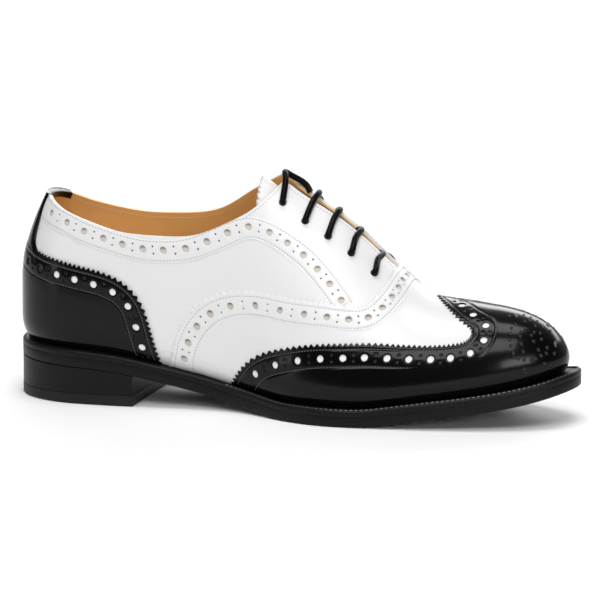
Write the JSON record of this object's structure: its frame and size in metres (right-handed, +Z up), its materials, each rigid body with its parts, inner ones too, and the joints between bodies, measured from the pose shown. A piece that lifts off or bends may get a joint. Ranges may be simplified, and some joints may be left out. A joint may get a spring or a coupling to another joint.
{
  "type": "spectator shoe",
  "caption": "Left two-tone wingtip oxford with a hollow upper, wing cap, heel counter, tongue, waxed lace and stacked heel, standing empty on its sole.",
  "frame": {"origin": "middle of the shoe's box, on the floor it stands on", "axes": "+X towards the toe, +Y towards the outer side of the foot, +Z up"},
  "size_m": [0.2748, 0.0959, 0.1148],
  "materials": {
    "white_leather": "smooth, soft gloss",
    "black_leather": "polished",
    "tan_lining": "matte",
    "sole_edge": "satin, inked black",
    "lace": "waxed"
  },
  "bodies": {
    "root": {"upper": "white_leather", "wing_cap": "black_leather", "heel_counter": "black_leather", "back_strip": "black_leather", "tongue": "white_leather", "insole": "tan_lining", "welt": "sole_edge", "outsole": "sole_edge", "heel_stack": "sole_edge", "top_piece": "sole_edge", "lace": "lace"}
  },
  "joints": []
}
